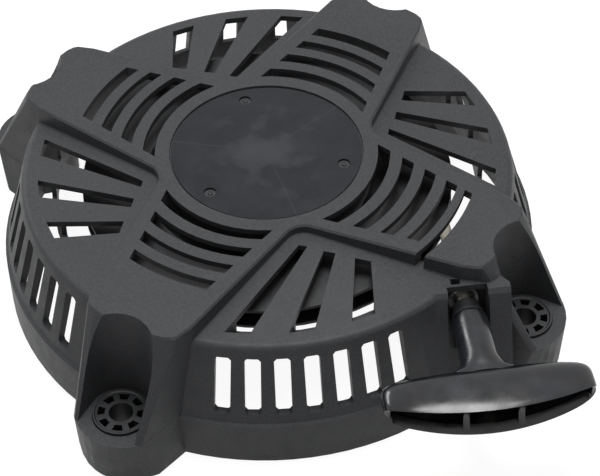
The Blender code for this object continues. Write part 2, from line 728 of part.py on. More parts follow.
collar = on_pull(turned("grip_collar", collar_profile, "collar_rubber", steps=32, loop=True))
collar.rotation_euler = (math.radians(-90), 0, PULL_TURN)

for obj in bpy.data.objects:
    obj.location.y += AXIS_Y * MM
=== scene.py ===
# %% [markdown]
# # A recoil starter, dressed for a studio picture
# The starter's solids come from its CAD model.
# This file gives the moulded case its soft edges and grain, and makes a new grip, rope and small
# pieces as surfaces worked out with numpy. Nothing is moved or resized.

# %% Load the frame
import json
import math

import bmesh
import bpy
import numpy as np
from mathutils import Matrix, Vector


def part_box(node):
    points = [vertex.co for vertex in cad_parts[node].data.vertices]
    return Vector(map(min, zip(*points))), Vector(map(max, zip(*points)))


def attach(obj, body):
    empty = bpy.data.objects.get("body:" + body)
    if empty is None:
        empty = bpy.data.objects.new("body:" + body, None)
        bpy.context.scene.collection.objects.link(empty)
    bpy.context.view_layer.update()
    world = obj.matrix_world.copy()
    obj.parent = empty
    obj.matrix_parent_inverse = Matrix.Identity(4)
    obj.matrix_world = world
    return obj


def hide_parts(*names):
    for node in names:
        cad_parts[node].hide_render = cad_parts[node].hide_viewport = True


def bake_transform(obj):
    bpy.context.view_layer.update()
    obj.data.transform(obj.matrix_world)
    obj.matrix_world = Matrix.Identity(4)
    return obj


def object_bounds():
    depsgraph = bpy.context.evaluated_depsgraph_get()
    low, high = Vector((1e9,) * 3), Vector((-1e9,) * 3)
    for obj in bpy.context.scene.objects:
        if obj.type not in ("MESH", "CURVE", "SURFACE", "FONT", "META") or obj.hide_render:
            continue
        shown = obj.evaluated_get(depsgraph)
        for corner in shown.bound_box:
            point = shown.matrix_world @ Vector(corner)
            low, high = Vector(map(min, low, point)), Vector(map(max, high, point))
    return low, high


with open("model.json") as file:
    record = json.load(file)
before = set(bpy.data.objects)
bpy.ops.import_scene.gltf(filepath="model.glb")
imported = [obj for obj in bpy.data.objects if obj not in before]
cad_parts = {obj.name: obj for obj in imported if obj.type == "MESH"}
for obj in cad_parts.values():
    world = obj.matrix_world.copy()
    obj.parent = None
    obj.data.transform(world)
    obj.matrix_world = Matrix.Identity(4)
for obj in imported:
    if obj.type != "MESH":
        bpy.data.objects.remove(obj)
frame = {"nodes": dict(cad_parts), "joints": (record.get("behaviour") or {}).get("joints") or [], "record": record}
cad_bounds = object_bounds()
MM = 0.001  # a millimetre in metres
low, high = (np.array(corner) for corner in cad_bounds)
print("CAD box in mm:", ((high - low) / MM).round(1).tolist())

# %% [markdown]
# ## Directions
# Two lines rule this object. One is the reel's axis, which is upright. The other is the line
# that the rope is pulled along. Both are read from the joints, so the new pieces fall where
# the CAD pieces are without any fitting.

# %% The reel's axis and the line of pull
joints = {joint["name"]: joint for joint in frame["joints"]}
AXIS = np.array(joints["reel_spin"]["pos_m"], float)
PULL = np.array(joints["grip_pull"]["axis"], float)
ACROSS = np.array([-PULL[1], PULL[0], 0.0])
UP = np.array([0.0, 0.0, 1.0])


def middle_of(node):
    """The middle of a CAD node's box."""
    lowest, highest = (np.array(corner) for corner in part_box(node))
    return (lowest + highest) / 2


lead_middle = middle_of("rope_lead")
ROPE_FOOT = lead_middle - PULL * np.dot(lead_middle - AXIS, PULL)
print("rope line passes the axis at", round(float(np.dot(ROPE_FOOT - AXIS, ACROSS)) / MM, 1), "mm")


def on_pull(across, along, up):
    """Points given across, along and above the rope's line, in mm, turned into places in the frame."""
    steps = np.asarray(across)[..., None] * ACROSS + np.asarray(along)[..., None] * PULL
    return ROPE_FOOT + (steps + np.asarray(up)[..., None] * UP) * MM


# %% [markdown]
# ## A mesh from a grid of points
# Every new piece is a grid: rows run one way over the surface and columns the other. Joining
# each point to its neighbours by index arithmetic makes all the faces at once, with no loop.
# The columns always close into a ring. The rows close too where the skin turns back on itself,
# and otherwise the two ends can be capped, so a tube and a rounded bar come from one helper.


# %% Grid helper
MERGE = 0.002 * MM
SHARP_DEGREES = 40


def grid_faces(rows, columns, close_rows):
    """Quads of a grid: each joins point (r, c) to (r+1, c), (r+1, c+1) and (r, c+1), wrapped if closed."""
    r = np.arange(rows if close_rows else rows - 1)[:, None]
    c = np.arange(columns)[None, :]
    r_next = (r + 1) % rows
    c_next = (c + 1) % columns
    corners = (r * columns + c, r_next * columns + c, r_next * columns + c_next, r * columns + c_next)
    return np.stack(corners, axis=-1).reshape(-1, 4)


def surface(name, points, body, finish, close_rows=False, caps=False):
    """A piece from a (rows, columns, 3) grid of places in metres, on a body, with a finish."""
    rows, columns = points.shape[:2]
    faces = grid_faces(rows, columns, close_rows).tolist()
    if caps:
        faces.append(list(range(columns))[::-1])
        faces.append(list(range((rows - 1) * columns, rows * columns)))
    mesh = bpy.data.meshes.new(name)
    mesh.from_pydata(points.reshape(-1, 3).tolist(), [], faces)
    return finished(name, mesh, body, finish)


def finished(name, mesh, body, finish):
    """Merges doubles, turns faces outwards and shades smooth between sharp edges. With no body, the
    piece is left free."""
    work = bmesh.new()
    work.from_mesh(mesh)
    bmesh.ops.remove_doubles(work, verts=work.verts, dist=MERGE)
    bmesh.ops.recalc_face_normals(work, faces=work.faces)
    work.to_mesh(mesh)
    work.free()
    mesh.shade_smooth()
    mesh.set_sharp_from_angle(angle=math.radians(SHARP_DEGREES))
    piece = bpy.data.objects.new(name, mesh)
    bpy.context.scene.collection.objects.link(piece)
    mesh.materials.append(finish)
    if body:
        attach(piece, body)
    return piece


print("a grid of 3 by 4, closed both ways, has", len(grid_faces(3, 4, True)), "faces")

# %% [markdown]
# ## Finishes
# The case is injection moulded in a spark-eroded tool, which leaves a fine matt grain of a few
# tenths of a millimetre. An image of it could be wrapped on, but a procedural grain has no
# seams and keeps its true size on every piece. So each finish is noise on Object coordinates:
# a fine one for grain, through a Bump node, and a wide one that shifts colour and gloss a little.


# %% Node helpers
class Sheet:
    """One material's node sheet, with short calls for the nodes that all finishes share."""

    def __init__(self, name):
        self.material = bpy.data.materials.new(name)
        self.material.use_nodes = True
        self.nodes = self.material.node_tree.nodes
        self.links = self.material.node_tree.links
        self.shader = self.nodes["Principled BSDF"]
        self.place = self.nodes.new("ShaderNodeTexCoord").outputs["Object"]

    def plug(self, value, socket):
        """Links a node's output to the socket, or sets a plain value on it."""
        if isinstance(value, bpy.types.NodeSocket):
            self.links.new(value, socket)
        else:
            socket.default_value = value

    def math(self, operation, first, second=0.0):
        """One step of arithmetic on one or two values."""
        node = self.nodes.new("ShaderNodeMath")
        node.operation = operation
        for value, socket in zip((first, second), node.inputs):
            self.plug(value, socket)
        return node.outputs[0]

    def noise(self, size_mm, detail=3.0, stretch=(1, 1, 1)):
        """Noise whose blobs are about size_mm across, drawn out by stretch."""
        mapping = self.nodes.new("ShaderNodeMapping")
        mapping.inputs["Scale"].default_value = stretch
        self.links.new(self.place, mapping.inputs["Vector"])
        node = self.nodes.new("ShaderNodeTexNoise")
        node.inputs["Scale"].default_value = 1 / (size_mm * MM)
        node.inputs["Detail"].default_value = detail
        self.links.new(mapping.outputs[0], node.inputs["Vector"])
        return node.outputs[0]

    def ramp(self, value, from_low, from_high, to_low, to_high):
        """The value moved in a straight line from one range to another, held at its ends."""
        node = self.nodes.new("ShaderNodeMapRange")
        self.plug(value, node.inputs[0])
        for socket, number in zip(node.inputs[1:5], (from_low, from_high, to_low, to_high)):
            self.plug(number, socket)
        return node.outputs[0]

    def mix(self, factor, first, second):
        """Colour mix: first at 0, second at 1."""
        node = self.nodes.new("ShaderNodeMix")
        node.data_type = "RGBA"
        self.plug(factor, node.inputs["Factor"])
        for value, socket in ((first, node.inputs[6]), (second, node.inputs[7])):
            self.plug(value if isinstance(value, bpy.types.NodeSocket) else (*value, 1.0), socket)
        return node.outputs[2]

    def bump(self, height, depth_mm, strength=1.0, below=None):
        """Bump of a height from 0 to 1 that stands for depth_mm."""
        node = self.nodes.new("ShaderNodeBump")
        node.inputs["Distance"].default_value = depth_mm * MM
        self.plug(strength, node.inputs["Strength"])
        self.links.new(height, node.inputs["Height"])
        if below is not None:
            self.links.new(below, node.inputs["Normal"])
        return node.outputs[0]

    def finish(self, colour, rough, normal=None, metallic=0.0):
        """Fills the shader's own sockets and gives back the material."""
        self.plug(colour, self.shader.inputs["Base Color"])
        self.plug(rough, self.shader.inputs["Roughness"])
        self.shader.inputs["Metallic"].default_value = metallic
        if normal is not None:
            self.links.new(normal, self.shader.inputs["Normal"])
        return self.material


def scaled(colour, by):
    """The colour made darker or lighter by a factor."""
    return tuple(channel * by for channel in colour)


print("calls on a sheet:", ", ".join(name for name in vars(Sheet) if not name.startswith("_")))

# %% [markdown]
# ## Plain plastics and rubber
# The foot bushes and the reel are glass-filled nylon, and the collar is rubber. They differ only
# in colour, in gloss and in how coarse their grain is, so one recipe with those values serves all
# three. Its clouds are wide, because thick and thin walls cool at different rates.


# %% Bush, reel and collar
CLOUD_MM = 30.0
SPREAD = 0.16


def moulded(name, colour, rough, grain_mm, grain_depth_mm):
    """A moulded skin: fine grain in bump, and a slow drift of colour and gloss of plus or minus SPREAD."""
    sheet = Sheet(name)
    less, more = 1 - SPREAD, 1 + SPREAD
    drift = sheet.ramp(sheet.noise(CLOUD_MM, 4.0), 0.3, 0.7, 0, 1)
    tint = sheet.mix(drift, scaled(colour, less), scaled(colour, more))
    gloss = sheet.ramp(sheet.noise(CLOUD_MM / 4, 5.0), 0.3, 0.7, rough * less, rough * more)
    return sheet.finish(tint, gloss, sheet.bump(sheet.noise(grain_mm, 2.0), grain_depth_mm))


BUSH = moulded("bush_nylon_finish", (0.015, 0.016, 0.018), 0.42, 0.5, 0.008)
REEL = moulded("reel_nylon_finish", (0.03, 0.031, 0.033), 0.42, 0.6, 0.01)
COLLAR = moulded("collar_rubber_finish", (0.009, 0.0095, 0.011), 0.55, 0.3, 0.02)
print("plain finishes:", BUSH.name, REEL.name, COLLAR.name)

# %% [markdown]
# ## The grip's gloss
# The grip comes out of a polished tool. It is nearly black with a cold tint, and its gloss is
# broken only by faint clouds where the plastic cooled unevenly and by hair scratches from hands.
# Both go into the roughness rather than the colour, as they do on the real skin.


# %% Grip finish
def polished(name, colour, rough):
    """A polished skin: wide clouds and long fine scratches in the roughness, and almost no bump."""
    sheet = Sheet(name)
    clouds = sheet.ramp(sheet.noise(12.0, 5.0), 0.38, 0.64, 0.0, 0.16)
    scratch = sheet.ramp(sheet.noise(0.6, 2.0, (0.08, 1.0, 1.0)), 0.6, 0.85, 0.0, 0.06)
    gloss = sheet.math("ADD", sheet.math("ADD", clouds, scratch), rough)
    bloom = sheet.ramp(sheet.noise(16.0, 4.0), 0.45, 0.68, 0.0, 1.0)
    tint = sheet.mix(bloom, scaled(colour, 0.75), scaled(colour, 2.6))
    return sheet.finish(tint, gloss, sheet.bump(sheet.noise(3.5, 3.0), 0.012))


GRIP = polished("grip_plastic_finish", (0.0065, 0.0072, 0.0095), 0.15)
print("grip nodes:", len(GRIP.node_tree.nodes))

# %% [markdown]
# ## The case's skin
# The case has two skins in one moulding. Most of it is matt grain, but the round boss in the
# middle is polished and shows a cloudy reflection and three faint sink lines. A second object
# for the boss would need a seam that the real one lacks, so one material changes inside a
# circle about the reel's axis instead. The cloudy reflection is painted into the boss's colour
# as a pale patch about the axis with a ragged edge, and the dimples are painted dark as shade.

# %% Case finish
BOSS_R = 44.6 * MM
BOSS_LOW = high[2] - 1.4 * MM
SINK_LINES = (154.0, 26.0, -88.0)  # degrees about the reel's axis, as for the dimples
SINK_HALF = 0.5 * MM
DIMPLES_AT = (90, -30, -150)
DIMPLE_REACH = 37 * MM
DIMPLE_R = 2.9 * MM
# Reach of the painted reflection about the axis in mm: the least, and the most that a noise adds to it.
REFLECTION_LEAST = 6 * MM
REFLECTION_MOST = 34 * MM
MATT_DARK = (0.0255, 0.0263, 0.0285)
MATT_PALE = (0.037, 0.038, 0.041)
MATT_SPECK = (0.053, 0.0545, 0.058)
BOSS_DARK = (0.0075, 0.009, 0.0125)
BOSS_PALE = (0.013, 0.0148, 0.0185)
# Colour of the painted reflection on the boss.
BOSS_PAINTED_REFLECTION = (0.047, 0.049, 0.054)
BOSS_LINE = (0.05, 0.053, 0.06)
# Colour of the painted shade in the dimples.
BOSS_PIT_SHADE = (0.0025, 0.0028, 0.0035)


def case_skin():
    """Grain outside the boss, and a polished skin where the distance to the axis is under BOSS_R."""
    sheet = Sheet("case_plastic_finish")
    shift = sheet.nodes.new("ShaderNodeMapping")
    shift.inputs["Location"].default_value = (-AXIS[0], -AXIS[1], 0)
    shift.inputs["Scale"].default_value = (1, 1, 0)
    sheet.links.new(sheet.place, shift.inputs["Vector"])
    reach = sheet.nodes.new("ShaderNodeVectorMath")
    reach.operation = "LENGTH"
    sheet.links.new(shift.outputs[0], reach.inputs[0])
    split = sheet.nodes.new("ShaderNodeSeparateXYZ")
    sheet.links.new(sheet.place, split.inputs[0])
    near = sheet.math("LESS_THAN", reach.outputs["Value"], BOSS_R)
    boss = sheet.math("MULTIPLY", near, sheet.math("GREATER_THAN", split.outputs[2], BOSS_LOW))

    flat_place = shift.outputs[0]
    drift = sheet.ramp(sheet.noise(45.0, 5.0), 0.3, 0.7, 0, 1)
    speck = sheet.ramp(sheet.noise(0.8, 2.0), 0.35, 0.7, 0.0, 1.0)
    matt = sheet.mix(speck, sheet.mix(drift, MATT_DARK, MATT_PALE), MATT_SPECK)
    colour = sheet.mix(boss, matt, boss_colour(sheet, flat_place, reach.outputs["Value"]))

    matt_gloss = sheet.ramp(sheet.noise(7.0, 5.0), 0.3, 0.7, 0.46, 0.58)
    boss_gloss = sheet.ramp(sheet.noise(11.0, 6.0), 0.35, 0.7, 0.2, 0.38)
    gloss = sheet.nodes.new("ShaderNodeMix")
    for value, number in ((boss, 0), (matt_gloss, 2), (boss_gloss, 3)):
        sheet.plug(value, gloss.inputs[number])
    grain = sheet.bump(sheet.noise(0.42, 2.5), 0.05, sheet.ramp(boss, 0, 1, 0.8, 0.08))
    waves = sheet.bump(sheet.noise(18.0, 2.0), 0.12, 0.35, grain)
    sheet.shader.inputs["Specular IOR Level"].default_value = 0.3
    return sheet.finish(colour, gloss.outputs[0], waves)


def boss_colour(sheet, place, distance):
    """Dark clouds, then the painted reflection, the sink lines and the dimples' painted shade laid over them in
    turn. The painted reflection is 1 near the axis and falls to 0 at its least reach plus a noise of up to its
    most reach."""
    lines = 0.0
    for degrees in SINK_LINES:
        lines = sheet.math("ADD", lines, sink_line(sheet, place, math.radians(degrees)))
    clouds = sheet.ramp(sheet.noise(16.0, 6.0), 0.4, 0.75, 0, 1)
    # Painted reflection: a pale patch about the axis with a ragged edge, standing in for the boss's cloudy
    # reflection.
    ragged = sheet.math("MULTIPLY", sheet.ramp(sheet.noise(14.0, 5.0), 0.36, 0.66, 0, 1), REFLECTION_MOST)
    painted_reflection = sheet.ramp(distance, 2 * MM, sheet.math("ADD", ragged, REFLECTION_LEAST), 1.0, 0.0)
    polish = sheet.mix(clouds, BOSS_DARK, BOSS_PALE)
    polish = sheet.mix(sheet.math("MULTIPLY", painted_reflection, 0.75), polish, BOSS_PAINTED_REFLECTION)
    polish = sheet.mix(sheet.math("MULTIPLY", lines, 0.4), polish, BOSS_LINE)
    # Painted shade: the dimples are painted near black where they sink into the boss.
    return sheet.mix(dimple_shade_mask(sheet, place), polish, BOSS_PIT_SHADE)


def dimple_shade_mask(sheet, place):
    """1 where the distance to the nearest dimple's centre is under DIMPLE_R, fading to 0 over 0.4 mm: where the
    dimples are painted dark as shade.
    """
    nearest = 1.0
    for degrees in DIMPLES_AT:
        angle = math.radians(degrees)
        gap = sheet.nodes.new("ShaderNodeVectorMath")
        gap.operation = "DISTANCE"
        sheet.links.new(place, gap.inputs[0])
        gap.inputs[1].default_value = (DIMPLE_REACH * math.cos(angle), DIMPLE_REACH * math.sin(angle), 0)
        nearest = sheet.math("MINIMUM", nearest, gap.outputs["Value"])
    return sheet.ramp(nearest, DIMPLE_R, DIMPLE_R + 0.4 * MM, 1.0, 0.0)


def sink_line(sheet, place, angle):
    """1 on the ray from the axis at this angle, fading to 0 at SINK_HALF to its side."""
    parts = []
    for direction in ((math.cos(angle), math.sin(angle), 0), (-math.sin(angle), math.cos(angle), 0)):
        dot = sheet.nodes.new("ShaderNodeVectorMath")
        dot.operation = "DOT_PRODUCT"
        sheet.links.new(place, dot.inputs[0])
        dot.inputs[1].default_value = direction
        parts.append(dot.outputs["Value"])
    along = sheet.ramp(parts[0], 8 * MM, 16 * MM, 0.0, 1.0)
    beside = sheet.ramp(sheet.math("ABSOLUTE", parts[1]), 0.0, SINK_HALF, 1.0, 0.0)
    return sheet.math("MULTIPLY", along, beside)


CASE = case_skin()
print("case nodes:", len(CASE.node_tree.nodes))

# %% [markdown]
# ## Metals and rope
# The small steel pieces are zinc plated or oiled, so they get a bright base with a fine uneven
# gloss. The rope is braided polyester. Its strands are real relief in the mesh, and the finish
# only adds fuzz and a little grime.


# %% Metal and rope finishes
def metal(name, colour, rough):
    """Bare metal: a fine noise moves the roughness about rough, and a coarse one dulls the colour."""
    sheet = Sheet(name)
    tint = sheet.mix(sheet.noise(5.0, 4.0), scaled(colour, 0.72), colour)
    gloss = sheet.ramp(sheet.noise(1.2, 5.0), 0.3, 0.7, rough * 0.75, rough * 1.35)
    return sheet.finish(tint, gloss, sheet.bump(sheet.noise(0.25, 2.0), 0.006), metallic=1.0)


def braid(name, colour):
    """Braided yarn: colour darkens in blotches of grime, and a very fine noise makes fuzz."""
    sheet = Sheet(name)
    tint = sheet.mix(sheet.ramp(sheet.noise(2.5, 5.0), 0.35, 0.7, 0, 1), scaled(colour, 0.72), colour)
    sheet.shader.inputs["Sheen Weight"].default_value = 0.3
    return sheet.finish(tint, 0.88, sheet.bump(sheet.noise(0.18, 2.0), 0.05))


ZINC = metal("zinc_steel_finish", (0.56, 0.56, 0.57), 0.32)
SPRING = metal("spring_steel_finish", (0.30, 0.31, 0.33), 0.28)
PAWL = metal("pawl_steel_finish", (0.36, 0.36, 0.37), 0.4)
ROPE = braid("rope_finish", (0.76, 0.71, 0.6))
print("finishes:", len(bpy.data.materials))

# %% [markdown]
# ## The case with soft edges
# A moulding has no knife edges: each corner is rounded by the tool. The CAD case is all flat
# facets and hard corners. Modelling it again would only copy it, so a copy of its mesh is
# merged, its flat facets are dissolved into whole faces, and a Bevel rounds what is left sharp.
# A Weighted Normal then lets the big faces win at each corner, so that a flat top shades flat.
# The copy then stands for the CAD node, which is hidden. The reel, the
# bushes, the collar and the small metal pieces are treated in the same way.

# %% Smoothed copies
FINISHES = {
    "case_plastic": CASE,
    "grip_plastic": GRIP,
    "collar_rubber": COLLAR,
    "bush_nylon": BUSH,
    "reel_nylon": REEL,
    "rope": ROPE,
    "spring_steel": SPRING,
    "zinc_steel": ZINC,
    "pawl_steel": PAWL,
}
SLOTS = {part["node"]: part["material_slot"] for part in frame["record"]["subparts"]}
BODY_NODES = frame["record"]["behaviour"]["bodies"]
BODIES = {node: body for body, nodes in BODY_NODES.items() for node in nodes}
CAD_MERGE = 0.004 * MM
FLAT = math.radians(0.6)
CORNER = math.radians(32)


def softened(node, edge_mm):
    """A copy of a CAD node with merged points, whole flat faces and edges rounded by edge_mm."""
    mesh = frame["nodes"][node].data.copy()
    work = bmesh.new()
    work.from_mesh(mesh)
    bmesh.ops.remove_doubles(work, verts=work.verts, dist=CAD_MERGE)
    bmesh.ops.dissolve_limit(work, angle_limit=FLAT, verts=work.verts, edges=work.edges)
    work.to_mesh(mesh)
    work.free()
    mesh.materials.clear()
    mesh.materials.append(FINISHES[SLOTS[node]])
    mesh.shade_smooth()
    mesh.set_sharp_from_angle(angle=CORNER)
    piece = bpy.data.objects.new(f"{node}_moulding", mesh)
    bpy.context.scene.collection.objects.link(piece)
    bevel = piece.modifiers.new("tool_radius", "BEVEL")
    bevel.width = edge_mm * MM
    bevel.segments = 2
    bevel.limit_method = "ANGLE"
    bevel.angle_limit = CORNER
    bevel.use_clamp_overlap = True
    even = piece.modifiers.new("flat_face_normals", "WEIGHTED_NORMAL")
    even.mode = "FACE_AREA_WITH_ANGLE"
    even.weight = 90
    even.keep_sharp = True
    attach(piece, BODIES[node])
    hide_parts(node)
    return piece


EDGES = {"recoil_case": 0.35, "reel": 0.2, "grip_collar": 0.2}  # rounding in mm
FINE_PIECES = ("rope_eyelet", "centre_screw", "pawl_1", "pawl_2")
BUSHES = tuple(f"mount_bush_{number}" for number in (1, 2, 3, 4))
EDGES |= dict.fromkeys(FINE_PIECES + BUSHES, 0.15)
for node, edge_mm in EDGES.items():
    piece = softened(node, edge_mm)
    print(piece.name, len(piece.data.polygons), "faces before its edges are rounded")

# %% [markdown]
# ## Pieces that stay as they are
# The spring, its cover, the washer and the small coils sit deep inside and have the right shape
# already, so they only get their finish.

# %% Finishes on the remaining CAD nodes
REMADE = set(EDGES) | {"grip", "rope_lead", "rope_knot", "rope_wound"}
KEPT = [node for node in frame["nodes"] if node not in REMADE]
for node in KEPT:
    materials = frame["nodes"][node].data.materials
    materials.clear()
    materials.append(FINISHES[SLOTS[node]])
print("kept with a new finish:", ", ".join(KEPT))

# %% [markdown]
# ## Dimples in the boss
# Each of the three dimples holds the stub that an ejector pin left. It could be cut into the
# case, but as a piece of its own it is only a profile of distances and heights, carried round
# its own centre.


# %% Ejector stubs
def revolved(profile, steps, centre):
    """Profile points (r, z) in mm carried round an upright axis: (r cos a, r sin a, z) about centre."""
    r, z = np.array(profile, float).T
    a = np.linspace(0, 2 * np.pi, steps, endpoint=False)[None, :]
    ring = np.stack([r[:, None] * np.cos(a), r[:, None] * np.sin(a), z[:, None] + 0 * a], axis=-1)
    return centre + ring * MM


STUB_STEPS = 24
# Distances from the stub's centre and heights from the top of the case, in mm.
STUB = [(0.001, -0.9), (0.7, -0.9), (0.95, -1.0), (1.05, -1.15), (1.1, -1.7), (0.001, -1.7)]
for index, degrees in enumerate(DIMPLES_AT):
    angle = math.radians(degrees)
    spot = np.array([DIMPLE_REACH * math.cos(angle), AXIS[1] + DIMPLE_REACH * math.sin(angle), high[2]])
    surface(f"ejector_stub_{index + 1}", revolved(STUB, STUB_STEPS, spot), "case", GRIP)
print("stubs across in mm:", 2 * max(reach for reach, _ in STUB))

# %% [markdown]
# ## The grip's bar
# The bar is a shallow crowned arch, thick in the middle and thin at its ends, and hollow at the
# front to save plastic. A block with a Boolean pocket would leave hard seams. Instead one
# section, shaped like a C, is carried along the bar while its height and depth follow smooth
# curves, so wall, lip and pocket are a single skin.

# %% Bar size
grip_mesh = frame["nodes"]["grip"].data
grip_points = np.empty(len(grip_mesh.vertices) * 3, np.float32)
grip_mesh.vertices.foreach_get("co", grip_points)
from_foot = (grip_points.reshape(-1, 3) - ROPE_FOOT) / MM
BAR_HALF = float((from_foot @ ACROSS).max())
BAR_FRONT = float((from_foot @ PULL).max())
STEM_START = float((from_foot @ PULL).min())
BAR_DEPTH = 27.0
BAR_BACK = BAR_FRONT - BAR_DEPTH
MIDDLE_HALF_HEIGHT = 9.0
END_HALF_HEIGHT = 5.0
FRONT_BOW = 10.0
BACK_BOW = 1.6
END_SHARPNESS = 14
END_FLAT = 0.25  # the share of its height that an end keeps
FRONT_TUCK, BACK_TUCK = 2.0, 5.0  # how far the faces turn in at the ends
BAR_STATIONS = 121
WALL = 2.3
FLOOR_DEPTH = 6.5
LIP = 0.6
OPEN_UNTIL = 0.955  # as a share of the half length, as is the next
CLOSES_OVER = 0.05
SECTION_POWER = 2 / 2.7
SECTION_SWEEP = math.radians(124.7)
SECTION_REACH = 1.672  # the section's depth over its fore-and-aft radius
print("bar half length, back and front in mm:", [round(v, 1) for v in (BAR_HALF, BAR_BACK, BAR_FRONT)])


# %% Bar skin
def bar_height(t):
    """Half height: a parabola from MIDDLE_HALF_HEIGHT down to END_HALF_HEIGHT at t of 1."""
    return END_HALF_HEIGHT + (MIDDLE_HALF_HEIGHT - END_HALF_HEIGHT) * (1 - t**2)


def signed_power(wave):
    """The wave with its size raised to SECTION_POWER and its sign kept, which squares off an ellipse."""
    return np.sign(wave) * np.abs(wave) ** SECTION_POWER


def bar_skin(t, columns=40):
    """Places over the bar, for t from -1 to 1 along it. The outer curve is a superellipse, cut flat at
    the front. Its depth follows two parabolas, and it closes in at the ends by the root of
    1 - t^END_SHARPNESS. The inner curve is a smaller one, drawn to the front face past OPEN_UNTIL."""
    t = t[:, None]
    rounding = (1 - np.abs(t) ** END_SHARPNESS) ** 0.5
    half = bar_height(t) * (END_FLAT + (1 - END_FLAT) * rounding)
    front = BAR_FRONT - FRONT_BOW * t**2 - FRONT_TUCK * (1 - rounding)
    back = BAR_BACK + BACK_BOW * t**2 + BACK_TUCK * (1 - rounding)
    reach = (front - back) / SECTION_REACH
    middle = back + reach
    sweep = np.linspace(-1, 1, columns)[None, :] * SECTION_SWEEP
    fore = signed_power(np.cos(sweep))
    rise = signed_power(np.sin(sweep))
    outer_along = np.minimum(middle - reach * fore, front)
    openness = np.clip((OPEN_UNTIL - np.abs(t)) / CLOSES_OVER, 0, 1)
    openness = openness * openness * (3 - 2 * openness)
    face_along = front - LIP + 0 * rise
    pocket_along = np.minimum(middle - (reach - FLOOR_DEPTH) * fore, front - LIP)
    inner_along = face_along + openness * (pocket_along - face_along)
    inner_up = (half - np.minimum(WALL, 0.45 * half)) * rise
    loop_along = np.concatenate([outer_along, inner_along[:, ::-1]], axis=1)
    loop_up = np.concatenate([half * rise, inner_up[:, ::-1]], axis=1)
    return on_pull(BAR_HALF * t + 0 * loop_along, loop_along, loop_up)


stations = np.sin(np.linspace(-np.pi / 2, np.pi / 2, BAR_STATIONS))
bar = surface("grip_bar", bar_skin(stations), "grip", GRIP, caps=True)
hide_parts("grip")
print("bar faces:", len(bar.data.polygons))

# %% [markdown]
# ## The grip's stem
# The stem is round where the rope enters and spreads sideways into the bar with a wide fillet.
# It is a tube whose section is an ellipse: its width follows a quarter circle near the bar, and
# its height shrinks a little so that it stays inside the crown. The bore for the rope is the
# same tube turned back on itself.

# %% Stem
STEM_R = 8.3
FILLET_START = BAR_BACK - 10.5
FILLET_END = BAR_BACK + 1.0
FILLET_R = 9.5
FLATTENING = 0.6
BORE_R = 3.45
STEM_END = BAR_BACK + 4.0
SHAFT_RINGS = 46
MOUTH = np.array([[0.0, -1.1], [0.12, -0.75], [0.45, -0.3]])  # rounding at the start: along, out


def stem_skin(steps=64):
    """Rings along the pull: radius STEM_R, then width plus the rise of a quarter circle of FILLET_R."""
    shaft = np.linspace(STEM_START + 1.2, STEM_END - 1.0, SHAFT_RINGS)
    turn_in = np.clip((shaft - FILLET_START) / (FILLET_END - FILLET_START), 0, 1)
    wide = STEM_R + FILLET_R * (1 - np.sqrt(1 - (0.995 * turn_in) ** 2))
    tall = STEM_R - FLATTENING * turn_in**2
    along = np.concatenate([STEM_START + MOUTH[:, 0], shaft, [STEM_END, STEM_END, STEM_START]])
    wide = np.concatenate([STEM_R + MOUTH[:, 1], wide, [wide[-1], BORE_R, BORE_R]])
    tall = np.concatenate([STEM_R + MOUTH[:, 1], tall, [tall[-1], BORE_R, BORE_R]])
    a = np.linspace(0, 2 * np.pi, steps, endpoint=False)[None, :]
    return on_pull(wide[:, None] * np.cos(a), along[:, None] + 0 * a, tall[:, None] * np.sin(a))


surface("grip_stem", stem_skin(), "grip", GRIP, close_rows=True)
print("stem length in mm:", round(STEM_END - STEM_START, 1))

# %% [markdown]
# ## The grip's ribs
# Two ribs cross the hollow and keep its lips apart. They could be part of the bar's skin, but
# then its section would have to change shape twice. Each is a thin slab of its own with a
# scooped front: its outline carried through its thickness.


# %% Ribs
RIBS_AT = (-0.26, 0.26)  # as a share of the half length
RIB_THICK = 2.8
RIB_FRONT, RIB_BACK = 1.4, 19.5  # behind the bar's front edge
RIB_SCOOP = 2.2
RIB_GAP = 1.6  # from the bar's outer face, inside its wall
RIB_SOFT = 0.25


def rib_skin(t, count=15):
    """Four outlines across the thickness, the outer two set back by RIB_SOFT for a soft edge. The front
    edge is hollowed by RIB_SCOOP (1 - u^2) for u from -1 to 1 up the rib."""
    half = float(bar_height(t)) - RIB_GAP
    front = BAR_FRONT - FRONT_BOW * t**2
    up = np.linspace(-1, 1, count)
    edge = front - RIB_FRONT - RIB_SCOOP * (1 - up**2)
    along = np.concatenate([edge, np.full(count, front - RIB_BACK)])[None, :]
    height = np.concatenate([half * up, half * up[::-1]])[None, :]
    side = np.array([-0.5, -0.38, 0.38, 0.5])[:, None] * RIB_THICK
    inset = np.array([1.0, 0.0, 0.0, 1.0])[:, None] * RIB_SOFT
    return on_pull(BAR_HALF * t + side + 0 * along, along - inset, height * (1 - inset * 0.02))


for index, t in enumerate(RIBS_AT):
    surface(f"grip_rib_{index + 1}", rib_skin(t), "grip", GRIP, caps=True)
print("ribs apart in mm:", round((RIBS_AT[1] - RIBS_AT[0]) * BAR_HALF, 1))

# %% [markdown]
# ## Rope
# The rope is a hollow braid of sixteen strands, half wound one way and half the other. Where
# two strands cross, one rides over the other. Twisted tubes would cost thousands of faces, so
# the relief is put straight into one tube: its radius is lifted by two crossing waves.

# %% Braided tube
ROPE_R = 2.95
STRANDS = 8  # wound each way
LAY = 15.0  # mm of rope for one turn of a strand
RELIEF = 0.07
LEAD_RINGS = 260
COARSE = 24  # points round the rope where it is mostly hidden


